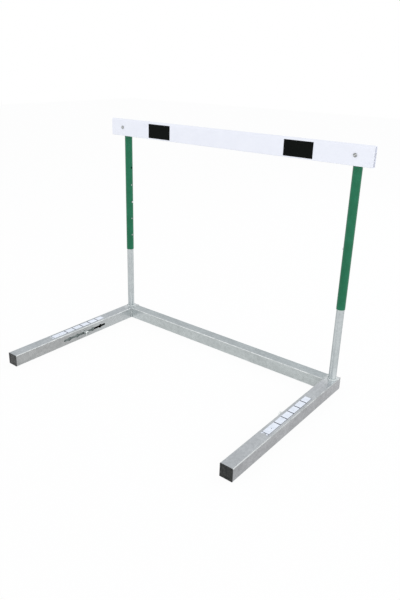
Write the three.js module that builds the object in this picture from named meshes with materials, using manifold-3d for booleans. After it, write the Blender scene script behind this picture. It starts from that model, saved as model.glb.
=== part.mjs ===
// A track hurdle. Millimetres, +Z up, the legs run forward along -Y, and X goes across.
import * as THREE from 'three';
import { mergeVertices } from 'three/addons/utils/BufferGeometryUtils.js';
import Module from 'manifold-3d';

const wasm = await Module();
wasm.setup();

// Base frame of square tube
const baseWidth = 1096;
const baseLength = 700;
const tubeSize = 47.6;
const tubeWall = 2;
const tubeCornerRadius = 2.5;
const crossbarInset = 2.5;

// End plugs of the legs
const plugFlange = 1.5;
const plugEdge = 0.5;
const plugDepth = 22;
const plugWall = 2.5;

// Gaps: between faces that rest on each other, round fitted parts, and past what is cut
const seatGap = 0.1;
const fitGap = 0.3;
const overrun = 1;

// Lower uprights, welded on the legs a little outside the middle of each leg
const uprightOutset = 2.2;
const uprightSetback = 25.3;
const lowerTubeWall = 1.8;
const lowerPlugFlange = 2;
const lowerPlugDepth = 14;
const roundPlugWall = 2;
const footWeldSize = 5;

// Upper uprights, which slide over the lower ones
const sleeveDiameter = 32;
const sleeveWall = 1.5;
const sleeveBelowHoles = 69;
const sleeveTopDrop = 10;
const sleevePlugFlange = 2;
const sleevePlugDepth = 14;

// Height settings, and the spring button that holds one
const barTop = 914.4;
const settingPitch = 76.2;
const settingCount = 5;
const holeDiameter = 8.6;
const buttonDiameter = 7.8;
const buttonHeight = 553.4;
const buttonProud = 3.6;
const buttonEdge = 1.2;
const lowerTubeAboveButton = 110;

// Bent strip that carries the button: places from its top round the bend to its other top
const clipThickness = 0.8;
const clipWidth = 7;
const clipDepth = 42;
const clipSideGap = 0.9;
const clipPathShares = [[1, 0.2], [1, -0.22], [0.62, -0.7], [0, -1], [-0.62, -0.7], [-1, -0.22], [-1, 0.12]];
const clipSteps = 24;

// Top board, a hollow section with a round top and three chambers, open at its ends
const barOverhang = 63.6;
const barHeight = 70;
const barThickness = 18;
const barWall = 2.2;
const barWeb = 1.6;
const barMiddleChamber = 24;
const barFootRadius = 3;

// Black panels on the board's front
const panelLength = 114;
const panelHeight = 56;
const panelThickness = 0.3;
const panelFootMargin = 5;
const panelEndMargin = 214;

// Board screws, each with a spacer in the board, a washer and a lock nut
const screwDiameter = 6;
const screwHeadDiameter = 14;
const screwHeadHeight = 3.6;
const screwSlotWidth = 1.8;
const screwSlotDepth = 1.6;
const screwTip = 1;
const spacerWall = 1.9;
const washerDiameter = 12;
const washerThickness = 1.2;
const nutFlats = 10;
const nutHeight = 4;
const nutCollarDiameter = 9;
const nutCollarHeight = 2;

// Notched slot of the counterweight, counted from the leg's rear end. The two legs differ a little.
const notchSetback = { left: 251, right: 239.5 };
const notchPitch = 44.45;
const notchCount = 5;
const notchDiameter = 17.5;
const slotHeight = 9.5;
const slotReach = 28.5;

// Counterweight, with its pull knob in a bore
const weightLength = 230;
const weightRearReach = 54.5;
const weightEdge = 2;
const knobDiameter = 20;
const knobLength = 18;
const knobDome = 3.5;
const knobEdge = 0.6;
const neckDiameter = 5;
const knobFootDiameter = 10;
const knobFootLength = 3;
const knobBore = 12;
const knobBoreDepth = 31;
const collarLength = 4;
const springLength = 16;
const springDiameter = 8.6;
const springWire = 1.1;
const springTurns = 6;
const stepsPerTurn = 8;
const wireSides = 5;

// Scale label on the top of each leg, the left one stuck a little further forward and outward
const labelWidth = 25.4;
const labelLength = 291;
const labelThickness = 0.25;
const labelTail = 9;
const labelRearY = { left: 132.5, right: 144 };
const labelOffset = { left: 1.5, right: 0 };

// Welds where the cross tube meets the legs
const cornerFillet = 5;
const seamWidth = 7;
const seamHeight = 1;

// Facets of the round shapes
const tubeFacets = 36;
const smallFacets = 24;
const arcFacets = 6;
const cornerFacets = 2;

// Worked out from the sizes above
const halfTurn = Math.PI;
const quarterTurn = halfTurn / 2;
const tubeMiddle = tubeSize / 2;
const cavity = tubeSize - 2 * tubeWall;
const legX = baseWidth / 2 - tubeMiddle;
const rearEnd = baseLength / 2 - plugFlange;
const crossY = rearEnd - crossbarInset - tubeMiddle;
const uprightX = legX + uprightOutset;
const uprightY = rearEnd - uprightSetback;
const sleeveRadius = sleeveDiameter / 2;
const sleeveBore = sleeveRadius - sleeveWall;
const sleeveTop = barTop - sleeveTopDrop;
const lowestHole = buttonHeight - (settingCount - 1) / 2 * settingPitch;
const sleeveFoot = lowestHole - sleeveBelowHoles;
const sleeveLength = sleeveTop - sleeveFoot;
const lowerRadius = sleeveBore - fitGap;
const lowerBore = lowerRadius - lowerTubeWall;
const lowerTubeFoot = tubeSize + seatGap;
const lowerTubeTop = buttonHeight + lowerTubeAboveButton;
const lowerTubeLength = lowerTubeTop - lowerTubeFoot;
const barLength = 2 * (uprightX + barOverhang);
const barBackY = uprightY - sleeveRadius - seatGap;
const barFrontY = barBackY - barThickness;
const barY = (barBackY + barFrontY) / 2;
const barZ = barTop - barHeight / 2;
const barCavity = barThickness - 2 * barWall;
const screwBore = screwDiameter + 2 * fitGap;
const middleNotch = (notchCount - 1) / 2;
const weightSize = cavity - 2 * fitGap;
const weightFaceDepth = tubeWall + fitGap;
const springStart = weightFaceDepth + collarLength + seatGap;
const footStart = springStart + springLength + seatGap;

// Materials
function finish(color, roughness, metalness) {
  return new THREE.MeshStandardMaterial({ color, roughness, metalness });
}

const brightTube = finish(0xb4b9ba, 0.42, 0.85);
const weldMetal = finish(0xc2c7c8, 0.5, 0.8);
const greenPaint = finish(0x2c7a55, 0.35, 0.1);
const whitePlastic = finish(0xeeeef4, 0.45, 0);
const blackPanel = finish(0x161816, 0.5, 0);
const blackPlastic = finish(0x3a3c3c, 0.6, 0);
const brightSteel = finish(0xd0d4d6, 0.25, 1);
const darkSteel = finish(0x6e7676, 0.55, 0.9);
const labelFilm = finish(0xe8f0fa, 0.4, 0);

// The same geometry with shared corners and without empty triangles
function closed(geometry) {
  const bare = geometry.clone();
  bare.deleteAttribute('normal');
  bare.deleteAttribute('uv');
  const merged = mergeVertices(bare);
  const corners = merged.index.array;
  const kept = [];
  for (let i = 0; i < corners.length; i += 3) {
    const [a, b, c] = corners.slice(i, i + 3);
    if (a !== b && b !== c && c !== a) kept.push(a, b, c);
  }
  merged.setIndex(kept);
  return merged;
}

function toSolid(geometry) {
  const whole = closed(geometry);
  const vertProperties = whole.attributes.position.array;
  const triVerts = Uint32Array.from(whole.index.array);
  return new wasm.Manifold(new wasm.Mesh({ numProp: 3, vertProperties, triVerts }));
}

function toGeometry(solid) {
  const mesh = solid.getMesh();
  const geometry = new THREE.BufferGeometry();
  geometry.setAttribute('position', new THREE.BufferAttribute(mesh.vertProperties, 3));
  geometry.setIndex(new THREE.BufferAttribute(mesh.triVerts, 1));
  return geometry;
}

function cut(body, tools) {
  let solid = toSolid(body);
  for (const tool of tools) solid = solid.subtract(toSolid(tool));
  return toGeometry(solid);
}

function join(first, ...others) {
  let solid = toSolid(first);
  for (const body of others) solid = solid.add(toSolid(body));
  return toGeometry(solid);
}

// Shapes are made along +Z and then turned to run along +X or +Y
function alongX(geometry) {
  return geometry.rotateY(quarterTurn);
}

function alongY(geometry) {
  return geometry.rotateX(-quarterTurn);
}

// A section drawn with its width across and its height up, turned to run along X with its height along Z
function uprightAlongX(geometry) {
  return geometry.rotateY(quarterTurn).rotateX(quarterTurn);
}

// A turned shape from [radius, height] points
function turned(points, facets) {
  const profile = points.map(([radius, height]) => new THREE.Vector2(radius, height));
  return new THREE.LatheGeometry(profile, facets).rotateX(quarterTurn);
}

// A pipe and a rod, each centred
function pipe(radius, bore, length, facets) {
  const [low, high] = [-length / 2, length / 2];
  return turned([[bore, low], [radius, low], [radius, high], [bore, high], [bore, low]], facets);
}

function rod(radius, length, facets) {
  return new THREE.CylinderGeometry(radius, radius, length, facets).rotateX(quarterTurn);
}

function traceRoundedRectangle(path, width, height, radius) {
  const x = width / 2 - radius;
  const y = height / 2 - radius;
  path.absarc(x, y, radius, 0, quarterTurn);
  path.absarc(-x, y, radius, quarterTurn, halfTurn);
  path.absarc(-x, -y, radius, halfTurn, halfTurn + quarterTurn);
  path.absarc(x, -y, radius, halfTurn + quarterTurn, 2 * halfTurn);
  path.closePath();
  return path;
}

// A bar of one section, centred
function extruded(shape, length, facets) {
  const settings = { depth: length, bevelEnabled: false, curveSegments: facets };
  return new THREE.ExtrudeGeometry(shape, settings).translate(0, 0, -length / 2);
}

function squareTube(length) {
  const shape = traceRoundedRectangle(new THREE.Shape(), tubeSize, tubeSize, tubeCornerRadius);
  const insideRadius = Math.max(tubeCornerRadius - tubeWall, fitGap);
  shape.holes.push(traceRoundedRectangle(new THREE.Path(), cavity, cavity, insideRadius));
  return extruded(shape, length, cornerFacets);
}

const base = new THREE.Group();
const upper = new THREE.Group();
const weights = new THREE.Group();
const hurdle = new THREE.Group();
hurdle.add(base, upper, weights);

// Each piece is made facing right, and is turned half round where it has to face left
function addPiece(group, name, geometry, material, x, y, z, facing = 1) {
  const piece = new THREE.Mesh(closed(geometry), material);
  piece.name = name;
  piece.position.set(x, y, z);
  if (facing < 0) piece.rotation.z = halfTurn;
  group.add(piece);
}

// The direction out from the middle and the one in towards it, for each side
const sides = [
  { side: 'left', out: -1, inward: 1 },
  { side: 'right', out: 1, inward: -1 },
];

// Leg, with its slot and the notches in the wall that faces inward
function legTube(inward, restNotchY) {
  const through = tubeWall + 2 * overrun;
  const wallX = inward * (tubeMiddle - tubeWall / 2);
  const lastNotch = middleNotch * notchPitch;
  const slotEnd = lastNotch + slotReach - slotHeight / 2;
  const tools = [new THREE.BoxGeometry(through, 2 * slotEnd, slotHeight).translate(wallX, restNotchY, 0)];
  for (const end of [-slotEnd, slotEnd]) {
    tools.push(alongX(rod(slotHeight / 2, through, smallFacets)).translate(wallX, restNotchY + end, 0));
  }
  for (let notch = 0; notch < notchCount; notch += 1) {
    const notchY = restNotchY - lastNotch + notch * notchPitch;
    tools.push(alongX(rod(notchDiameter / 2, through, smallFacets)).translate(wallX, notchY, 0));
  }
  return cut(alongY(squareTube(2 * rearEnd)), tools);
}

// End plug: a flange with eased edges, and a hollow skirt that goes into the tube along +Y
function legPlug() {
  const flangeSize = tubeSize - 2 * plugEdge;
  const outline = traceRoundedRectangle(new THREE.Shape(), flangeSize, flangeSize, tubeCornerRadius);
  const flange = new THREE.ExtrudeGeometry(outline, {
    depth: plugFlange - seatGap - 2 * plugEdge,
    bevelThickness: plugEdge,
    bevelSize: plugEdge,
    bevelSegments: 1,
    curveSegments: cornerFacets,
  }).translate(0, 0, plugEdge);
  const skirtSize = cavity - 2 * fitGap;
  const skirt = traceRoundedRectangle(new THREE.Shape(), skirtSize, skirtSize, plugEdge);
  const hollowSize = skirtSize - 2 * plugWall;
  skirt.holes.push(traceRoundedRectangle(new THREE.Path(), hollowSize, hollowSize, plugEdge));
  const skirtLength = plugDepth + plugFlange / 2;
  const skirtY = (plugFlange + plugDepth + plugFlange / 2) / 2;
  return alongY(join(flange, extruded(skirt, skirtLength, cornerFacets).translate(0, 0, skirtY)));
}

// Round plug for the top of a tube, with its flange's underside at the height 0
function roundPlug(radius, bore, flange, depth) {
  const skirt = bore - fitGap;
  const hollow = skirt - roundPlugWall;
  return turned(
    [
      [0, 0],
      [hollow, 0],
      [hollow, -depth],
      [skirt, -depth],
      [skirt, 0],
      [radius, 0],
      [radius, flange / 2],
      [radius - flange / 2, flange],
      [0, flange],
    ],
    smallFacets,
  );
}

// Ring of weld round the foot of an upright
function footWeld() {
  const inner = lowerRadius + seatGap;
  const swell = footWeldSize * 2 / 3;
  return turned(
    [
      [inner, 0],
      [inner + footWeldSize, 0],
      [inner + swell, swell],
      [inner, footWeldSize],
      [inner, 0],
    ],
    tubeFacets,
  );
}

// Weld on a corner of the base, about the corner of the cross tube's front and the leg's inward face:
// a fillet up that corner, and a low seam back across the tops
function cornerWeld(inward) {
  const shape = new THREE.Shape();
  const [near, far, bulge] = [fitGap, fitGap + cornerFillet, fitGap + cornerFillet * 2 / 3];
  shape.moveTo(inward * near, -near);
  shape.lineTo(inward * near, -far);
  shape.quadraticCurveTo(inward * bulge, -bulge, inward * far, -near);
  shape.closePath();
  const filletFoot = tubeCornerRadius;
  const filletTop = tubeSize + seatGap + seamHeight / 2;
  const fillet = extruded(shape, filletTop - filletFoot, cornerFacets);
  fillet.translate(0, 0, (filletTop + filletFoot) / 2);
  const seamShape = new THREE.Shape();
  seamShape.moveTo(-seamWidth / 2, 0);
  seamShape.quadraticCurveTo(0, 2 * seamHeight, seamWidth / 2, 0);
  seamShape.closePath();
  const seamLength = tubeSize + cornerFillet / 2;
  const seam = extruded(seamShape, seamLength, cornerFacets).rotateX(quarterTurn);
  seam.translate(-inward * tubeCornerRadius / 2, (tubeSize - cornerFillet / 2) / 2, tubeSize + seatGap);
  return join(fillet, seam);
}

// Lower upright, with the button's hole in the side that faces inward
function lowerTube(inward) {
  const hole = alongX(rod(holeDiameter / 2, lowerTubeWall + 2 * overrun, smallFacets));
  const wallX = inward * (lowerRadius - lowerTubeWall / 2);
  hole.translate(wallX, 0, buttonHeight - (lowerTubeTop + lowerTubeFoot) / 2);
  return cut(pipe(lowerRadius, lowerBore, lowerTubeLength, tubeFacets), [hole]);
}

// Upper upright, with its row of setting holes facing inward and a hole right through for the board's screw
function sleeve(inward) {
  const middle = sleeveFoot + sleeveLength / 2;
  const tools = [];
  for (let setting = 0; setting < settingCount; setting += 1) {
    const height = lowestHole + setting * settingPitch;
    const hole = alongX(rod(holeDiameter / 2, sleeveWall + 2 * overrun, smallFacets));
    tools.push(hole.translate(inward * (sleeveRadius - sleeveWall / 2), 0, height - middle));
  }
  const screwHole = alongY(rod(screwBore / 2, sleeveDiameter + 2 * overrun, smallFacets));
  tools.push(screwHole.translate(0, 0, barZ - middle));
  return cut(pipe(sleeveRadius, sleeveBore, sleeveLength, tubeFacets), tools);
}

// Spring clip: a strip bent to a V inside the tube, and the button that it pushes out to the right
function snapClip() {
  const inside = Math.sqrt(lowerBore ** 2 - (clipWidth / 2) ** 2);
  const reach = inside - clipSideGap - clipThickness / 2;
  const places = clipPathShares.map(([x, z]) => new THREE.Vector2(x * reach, z * clipDepth));
  const middleLine = new THREE.SplineCurve(places);
  const outer = [];
  const inner = [];
  for (let step = 0; step <= clipSteps; step += 1) {
    const place = middleLine.getPoint(step / clipSteps);
    const along = middleLine.getTangent(step / clipSteps);
    const across = new THREE.Vector2(-along.y, along.x).multiplyScalar(clipThickness / 2);
    outer.push(place.clone().add(across));
    inner.unshift(place.clone().sub(across));
  }
  const strip = extruded(new THREE.Shape([...outer, ...inner]), clipWidth, 1).rotateX(quarterTurn);
  const radius = buttonDiameter / 2;
  const length = sleeveRadius + buttonProud - reach;
  const button = turned(
    [[0, 0], [radius, 0], [radius, length - buttonEdge], [radius - buttonEdge, length], [0, length]],
    smallFacets,
  );
  return join(strip, alongX(button).translate(reach, 0, 0));
}

// The board's outline, with a round top and small radii at the foot
function barOutline() {
  const shape = new THREE.Shape();
  const x = barThickness / 2 - barFootRadius;
  const y = barHeight / 2 - barFootRadius;
  shape.absarc(0, (barHeight - barThickness) / 2, barThickness / 2, 0, halfTurn);
  shape.absarc(-x, -y, barFootRadius, halfTurn, halfTurn + quarterTurn);
  shape.absarc(x, -y, barFootRadius, halfTurn + quarterTurn, 2 * halfTurn);
  shape.closePath();
  return shape;
}

// A chamber of the board from one height to another, with a round top if there is one
function barChamber(foot, top, round = 0) {
  const half = barCavity / 2;
  const path = new THREE.Path();
  path.moveTo(-half, foot);
  path.lineTo(half, foot);
  path.lineTo(half, top - round);
  if (round > 0) path.absarc(0, top - round, round, 0, halfTurn);
  path.lineTo(-half, top - round);
  path.closePath();
  return path;
}

function barBody() {
  const shape = barOutline();
  const middle = barMiddleChamber / 2;
  const inside = barHeight / 2 - barWall;
  shape.holes.push(
    barChamber(middle + barWeb, inside, barCavity / 2),
    barChamber(-middle, middle),
    barChamber(-inside, -middle - barWeb),
  );
  const holes = sides.map(({ out }) => {
    const hole = alongY(rod(screwBore / 2, barThickness + 2 * overrun, smallFacets));
    return hole.translate(out * uprightX, 0, 0);
  });
  return cut(uprightAlongX(extruded(shape, barLength, arcFacets)), holes);
}

function panel() {
  return new THREE.BoxGeometry(panelLength, panelThickness, panelHeight);
}

// Screw, with its head's underside at 0 and its shank along +Y
function screw(shank) {
  const head = screwHeadDiameter / 2;
  const stem = screwDiameter / 2;
  const points = [[0, -screwHeadHeight]];
  for (let step = 1; step <= arcFacets; step += 1) {
    const turn = quarterTurn * step / arcFacets;
    points.push([head * Math.sin(turn), -screwHeadHeight * (1 + 2 * Math.cos(turn)) / 3]);
  }
  points.push([head, 0], [stem, 0], [stem, shank], [0, shank]);
  const slot = new THREE.BoxGeometry(screwHeadDiameter + overrun, screwSlotWidth, 2 * screwSlotDepth);
  return alongY(cut(turned(points, smallFacets), [slot.translate(0, 0, -screwHeadHeight)]));
}

// Lock nut: six flats and a round collar, with its face at 0, along +Y
function lockNut() {
  const corners = nutFlats / 2 / Math.cos(halfTurn / 6);
  const flats = rod(corners, nutHeight, 6).translate(0, 0, nutHeight / 2);
  const collar = rod(nutCollarDiameter / 2, 2 * nutCollarHeight, smallFacets).translate(0, 0, nutHeight);
  const bore = rod(screwBore / 2, 2 * (nutHeight + nutCollarHeight + overrun), smallFacets);
  return alongY(cut(join(flats, collar), [bore]));
}

// Counterweight about the middle of its knob, with the knob's bore facing inward
function counterweight(inward) {
  const section = traceRoundedRectangle(new THREE.Shape(), weightSize, weightSize, weightEdge);
  const bar = alongY(extruded(section, weightLength, 1)).translate(0, weightRearReach - weightLength / 2, 0);
  const boreX = inward * (weightSize + overrun - knobBoreDepth) / 2;
  const bore = alongX(rod(knobBore / 2, knobBoreDepth + overrun, smallFacets)).translate(boreX, 0, 0);
  return cut(bar, [bore]);
}

// Pull knob along +X about the leg's inward face: domed head outside, neck, and foot in the bore
function knob() {
  const head = knobDiameter / 2;
  const neck = neckDiameter / 2;
  const foot = knobFootDiameter / 2;
  const headFace = fitGap + knobLength;
  const footBack = -footStart - knobFootLength;
  const points = [
    [0, footBack],
    [foot, footBack],
    [foot, -footStart],
    [neck, -footStart],
    [neck, fitGap],
    [head - knobEdge, fitGap],
    [head, fitGap + knobEdge],
  ];
  for (let step = 0; step < arcFacets; step += 1) {
    const turn = quarterTurn * step / arcFacets;
    const rise = headFace - knobDome + knobDome * Math.sin(turn);
    points.push([head - knobDome + knobDome * Math.cos(turn), rise]);
  }
  points.push([head - knobDome, headFace], [0, headFace]);
  return alongX(turned(points, smallFacets));
}

// The knob's coil spring, one wire whose two ends are a wire's radius inside the spring's length
class CoilLine extends THREE.Curve {
  getPoint(share) {
    const turn = share * springTurns * 2 * halfTurn;
    const radius = (springDiameter - springWire) / 2;
    const rise = springWire / 2 + share * (springLength - springWire);
    return new THREE.Vector3(radius * Math.cos(turn), radius * Math.sin(turn), rise);
  }
}

function knobSpring() {
  const section = [];
  for (let side = 0; side < wireSides; side += 1) {
    const turn = 2 * halfTurn * side / wireSides;
    section.push(new THREE.Vector2(Math.cos(turn), Math.sin(turn)).multiplyScalar(springWire / 2));
  }
  const settings = { steps: springTurns * stepsPerTurn, extrudePath: new CoilLine(), bevelEnabled: false };
  return alongX(new THREE.ExtrudeGeometry(new THREE.Shape(section), settings));
}

// The least gap from one turn of the spring to the next, on points along it
function leastSpringGap() {
  const count = springTurns * stepsPerTurn;
  const places = new CoilLine().getPoints(count);
  let least = Infinity;
  for (let i = 0; i <= count; i += 1) {
    for (let j = i + stepsPerTurn / 2; j <= count; j += 1) {
      least = Math.min(least, places[i].distanceTo(places[j]) - springWire);
    }
  }
  return least;
}

function scaleLabel() {
  const rear = labelLength / 2;
  const front = -rear;
  const half = labelWidth / 2;
  const shape = new THREE.Shape();
  shape.moveTo(-half, rear);
  shape.lineTo(-half, front);
  shape.lineTo(0, front + labelTail);
  shape.lineTo(half, front);
  shape.lineTo(half, rear);
  shape.closePath();
  return extruded(shape, labelThickness, 1);
}

// The board's screw, from its head to its tip behind the upright
const nutLength = nutHeight + nutCollarHeight;
const screwShank = barThickness + sleeveDiameter + washerThickness + nutLength + screwTip + 4 * seatGap;
const spacerLength = barCavity - 2 * seatGap;
const backOfSleeve = uprightY + sleeveRadius + seatGap;
const crossLength = baseWidth - 2 * (tubeSize + seatGap);
const panelX = barLength / 2 - panelEndMargin - panelLength / 2;
const panelY = barFrontY - seatGap - panelThickness / 2;
const panelZ = barTop - barHeight + panelFootMargin + panelHeight / 2;

addPiece(base, 'base_crossbar', alongX(squareTube(crossLength)), brightTube, 0, crossY, tubeMiddle);
addPiece(upper, 'top_bar', barBody(), whitePlastic, 0, barY, barZ);

for (const { side, out, inward } of sides) {
  const restNotchY = rearEnd - notchSetback[side] - middleNotch * notchPitch;
  const faceX = out * (legX - tubeMiddle);
  const upX = out * uprightX;

  // Leg, plugs, weld and scale
  const labelX = out * (legX + labelOffset[side]);
  const labelY = labelRearY[side] - labelLength / 2;
  const labelZ = tubeSize + seatGap + labelThickness / 2;
  addPiece(base, `leg_${side}`, legTube(inward, restNotchY), brightTube, out * legX, 0, tubeMiddle);
  addPiece(base, `front_plug_${side}`, legPlug(), blackPlastic, out * legX, -baseLength / 2, tubeMiddle);
  addPiece(base, `rear_plug_${side}`, legPlug(), blackPlastic, out * legX, baseLength / 2, tubeMiddle, -1);
  addPiece(base, `corner_weld_${side}`, cornerWeld(inward), weldMetal, faceX, crossY - tubeMiddle, 0);
  addPiece(base, `scale_label_${side}`, scaleLabel(), labelFilm, labelX, labelY, labelZ);

  // Lower upright and its button
  const lowerPlug = roundPlug(lowerRadius, lowerBore, lowerPlugFlange, lowerPlugDepth);
  const lowerZ = lowerTubeFoot + lowerTubeLength / 2;
  addPiece(base, `lower_tube_${side}`, lowerTube(inward), brightTube, upX, uprightY, lowerZ);
  addPiece(base, `lower_tube_plug_${side}`, lowerPlug, blackPlastic, upX, uprightY, lowerTubeTop + seatGap);
  addPiece(base, `foot_weld_${side}`, footWeld(), weldMetal, upX, uprightY, lowerTubeFoot);
  addPiece(base, `snap_clip_${side}`, snapClip(), brightSteel, upX, uprightY, buttonHeight, inward);

  // Upper upright
  const sleevePlug = roundPlug(sleeveRadius, sleeveBore, sleevePlugFlange, sleevePlugDepth);
  addPiece(upper, `sleeve_${side}`, sleeve(inward), greenPaint, upX, uprightY, sleeveFoot + sleeveLength / 2);
  addPiece(upper, `sleeve_plug_${side}`, sleevePlug, blackPlastic, upX, uprightY, sleeveTop + seatGap);

  // Board
  const spacer = alongY(pipe(screwBore / 2 + spacerWall, screwBore / 2, spacerLength, smallFacets));
  const washer = alongY(pipe(washerDiameter / 2, screwBore / 2, washerThickness, smallFacets));
  const washerY = backOfSleeve + washerThickness / 2;
  const nutY = backOfSleeve + washerThickness + seatGap;
  addPiece(upper, `bar_panel_${side}`, panel(), blackPanel, out * panelX, panelY, panelZ);
  addPiece(upper, `bar_screw_${side}`, screw(screwShank), brightSteel, upX, barFrontY - seatGap, barZ);
  addPiece(upper, `bar_spacer_${side}`, spacer, whitePlastic, upX, barY, barZ);
  addPiece(upper, `bar_washer_${side}`, washer, brightSteel, upX, washerY, barZ);
  addPiece(upper, `bar_nut_${side}`, lockNut(), brightSteel, upX, nutY, barZ);

  // Counterweight and knob
  const collar = alongX(pipe(knobBore / 2 - fitGap, neckDiameter / 2 + fitGap, collarLength, smallFacets));
  const spring = knobSpring();
  const collarX = faceX - inward * (weightFaceDepth + collarLength / 2);
  const springX = faceX - inward * (springStart + springLength);
  const weight = counterweight(inward);
  addPiece(weights, `counterweight_${side}`, weight, darkSteel, out * legX, restNotchY, tubeMiddle);
  addPiece(weights, `knob_collar_${side}`, collar, brightSteel, collarX, restNotchY, tubeMiddle);
  addPiece(weights, `knob_${side}`, knob(), brightSteel, faceX, restNotchY, tubeMiddle, inward);
  addPiece(weights, `knob_spring_${side}`, spring, brightSteel, springX, restNotchY, tubeMiddle, inward);
}

console.log('Least gap between the turns of a knob spring:', leastSpringGap().toFixed(2), 'mm');

export default hurdle;
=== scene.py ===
import math

import bpy
from mathutils import Matrix, Vector


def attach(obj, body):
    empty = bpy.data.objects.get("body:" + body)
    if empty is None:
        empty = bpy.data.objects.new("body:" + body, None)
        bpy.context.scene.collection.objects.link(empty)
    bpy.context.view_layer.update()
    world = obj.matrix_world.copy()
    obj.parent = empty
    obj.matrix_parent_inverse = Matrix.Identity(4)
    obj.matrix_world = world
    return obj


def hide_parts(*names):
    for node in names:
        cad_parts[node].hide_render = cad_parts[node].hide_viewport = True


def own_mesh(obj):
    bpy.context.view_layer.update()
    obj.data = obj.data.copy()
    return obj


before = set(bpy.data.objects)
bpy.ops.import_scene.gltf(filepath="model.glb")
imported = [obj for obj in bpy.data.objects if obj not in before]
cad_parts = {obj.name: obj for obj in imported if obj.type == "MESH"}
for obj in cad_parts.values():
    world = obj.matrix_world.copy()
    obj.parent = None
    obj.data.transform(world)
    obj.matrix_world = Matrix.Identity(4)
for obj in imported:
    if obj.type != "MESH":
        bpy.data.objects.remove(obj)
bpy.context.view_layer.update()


# Camera. It stands in front of the hurdle's right end, a little above the top board, and looks
# down at the left foot. The photograph is a crop, so the picture is shifted a little.
camera_place = (1.3197, -1.5295, 1.1571)
camera_heading = math.radians(38.98)
camera_dip = math.radians(20.94)
camera_roll = math.radians(1.215)
camera_turn = (
    Matrix.Rotation(camera_heading, 3, "Z")
    @ Matrix.Rotation(math.pi / 2 - camera_dip, 3, "X")
    @ Matrix.Rotation(camera_roll, 3, "Z")
)
bpy.ops.object.camera_add(location=camera_place, rotation=camera_turn.to_euler())
camera = bpy.context.object
camera.data.sensor_fit = "VERTICAL"
camera.data.sensor_height = 36
camera.data.lens = 35.3
camera.data.shift_x = 0.02026
camera.data.shift_y = -0.02672
camera.data.clip_end = 60
bpy.context.scene.camera = camera
bpy.context.scene.view_settings.view_transform = "Standard"


# Floor and light. A plain white floor that runs on into a white world, and three broad lamps:
# one high on the left, one behind for the bright lines along the rounded edges, one in front.
def add_node(tree, kind, inputs=None, **settings):
    made = tree.nodes.new(kind)
    for name, value in settings.items():
        setattr(made, name, value)
    for name, value in (inputs or {}).items():
        if isinstance(value, bpy.types.NodeSocket):
            tree.links.new(value, made.inputs[name])
        else:
            made.inputs[name].default_value = value
    return made


def background_seen(tree):
    path = add_node(tree, "ShaderNodeLightPath").outputs
    seen = path["Is Camera Ray"]
    for ray in ("Is Glossy Ray", "Is Transmission Ray"):
        seen = add_node(tree, "ShaderNodeMath", {0: seen, 1: path[ray]}, operation="MAXIMUM").outputs[0]
    return seen


floor_size = 24
floor_drop = 0.0003
floor_shadow_share = 0.06
bpy.ops.object.select_all(action="DESELECT")
bpy.ops.mesh.primitive_plane_add(size=floor_size, location=(0, 0, -floor_drop))
floor = bpy.context.object
floor.name = "studio_floor"
floor_paint = bpy.data.materials.new("floor white")
floor_paint.use_nodes = True
tree = floor_paint.node_tree
tree.nodes.clear()
plain = add_node(tree, "ShaderNodeBsdfDiffuse", {"Color": (0.9, 0.9, 0.9, 1)})
glow = add_node(tree, "ShaderNodeEmission", {"Color": (1, 1, 1, 1), "Strength": 1})
share = add_node(
    tree, "ShaderNodeMath", {0: background_seen(tree), 1: 1 - floor_shadow_share}, operation="MULTIPLY"
)
mixed = add_node(
    tree,
    "ShaderNodeMixShader",
    {0: share.outputs[0], 1: plain.outputs[0], 2: glow.outputs[0]},
)
add_node(tree, "ShaderNodeOutputMaterial", {"Surface": mixed.outputs[0]})
floor.data.materials.append(floor_paint)

world = bpy.data.worlds.new("studio")
bpy.context.scene.world = world
world.use_nodes = True
tree = world.node_tree
tree.nodes.clear()
room_light = add_node(tree, "ShaderNodeBackground", {"Color": (0.97, 0.985, 1, 1), "Strength": 0.84})
backdrop = add_node(tree, "ShaderNodeBackground", {"Color": (1, 1, 1, 1), "Strength": 1})
mixed = add_node(
    tree,
    "ShaderNodeMixShader",
    {0: background_seen(tree), 1: room_light.outputs[0], 2: backdrop.outputs[0]},
)
add_node(tree, "ShaderNodeOutputWorld", {"Surface": mixed.outputs[0]})


def softbox(name, place, aim, width, height, power):
    direction = Vector(aim) - Vector(place)
    turn = direction.to_track_quat("-Z", "Y").to_euler()
    bpy.ops.object.light_add(type="AREA", location=place, rotation=turn)
    lamp = bpy.context.object
    lamp.name = name
    lamp.data.shape = "RECTANGLE"
    lamp.data.size = width
    lamp.data.size_y = height
    lamp.data.energy = power


softbox("lamp_left", (-2.6, -1.7, 3.2), (0, 0, 0.2), 3.0, 2.4, 15)
softbox("lamp_behind", (1.4, 3.1, 2.5), (0, 0, 0.1), 3.4, 2.2, 30)
softbox("lamp_front", (4.1, -3.1, 2.1), (0, 0.2, 0.5), 5.0, 3.8, 64)


# Legs and cross tube. Extruded aluminium square tube, mill finish with the die's fine lines along
# it, sawn to length. The rear tube is welded between the legs, flush with their tops.
def settle(name):
    piece = bpy.context.object
    piece.name = name
    piece.data.name = name
    bpy.ops.object.transform_apply(location=True, rotation=True, scale=True)
    return piece


def block(name, middle, size, turn=(0, 0, 0)):
    bpy.ops.object.select_all(action="DESELECT")
    bpy.ops.mesh.primitive_cube_add(size=1, location=middle, rotation=turn, scale=size)
    return settle(name)


hair = 1e-5


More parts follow.
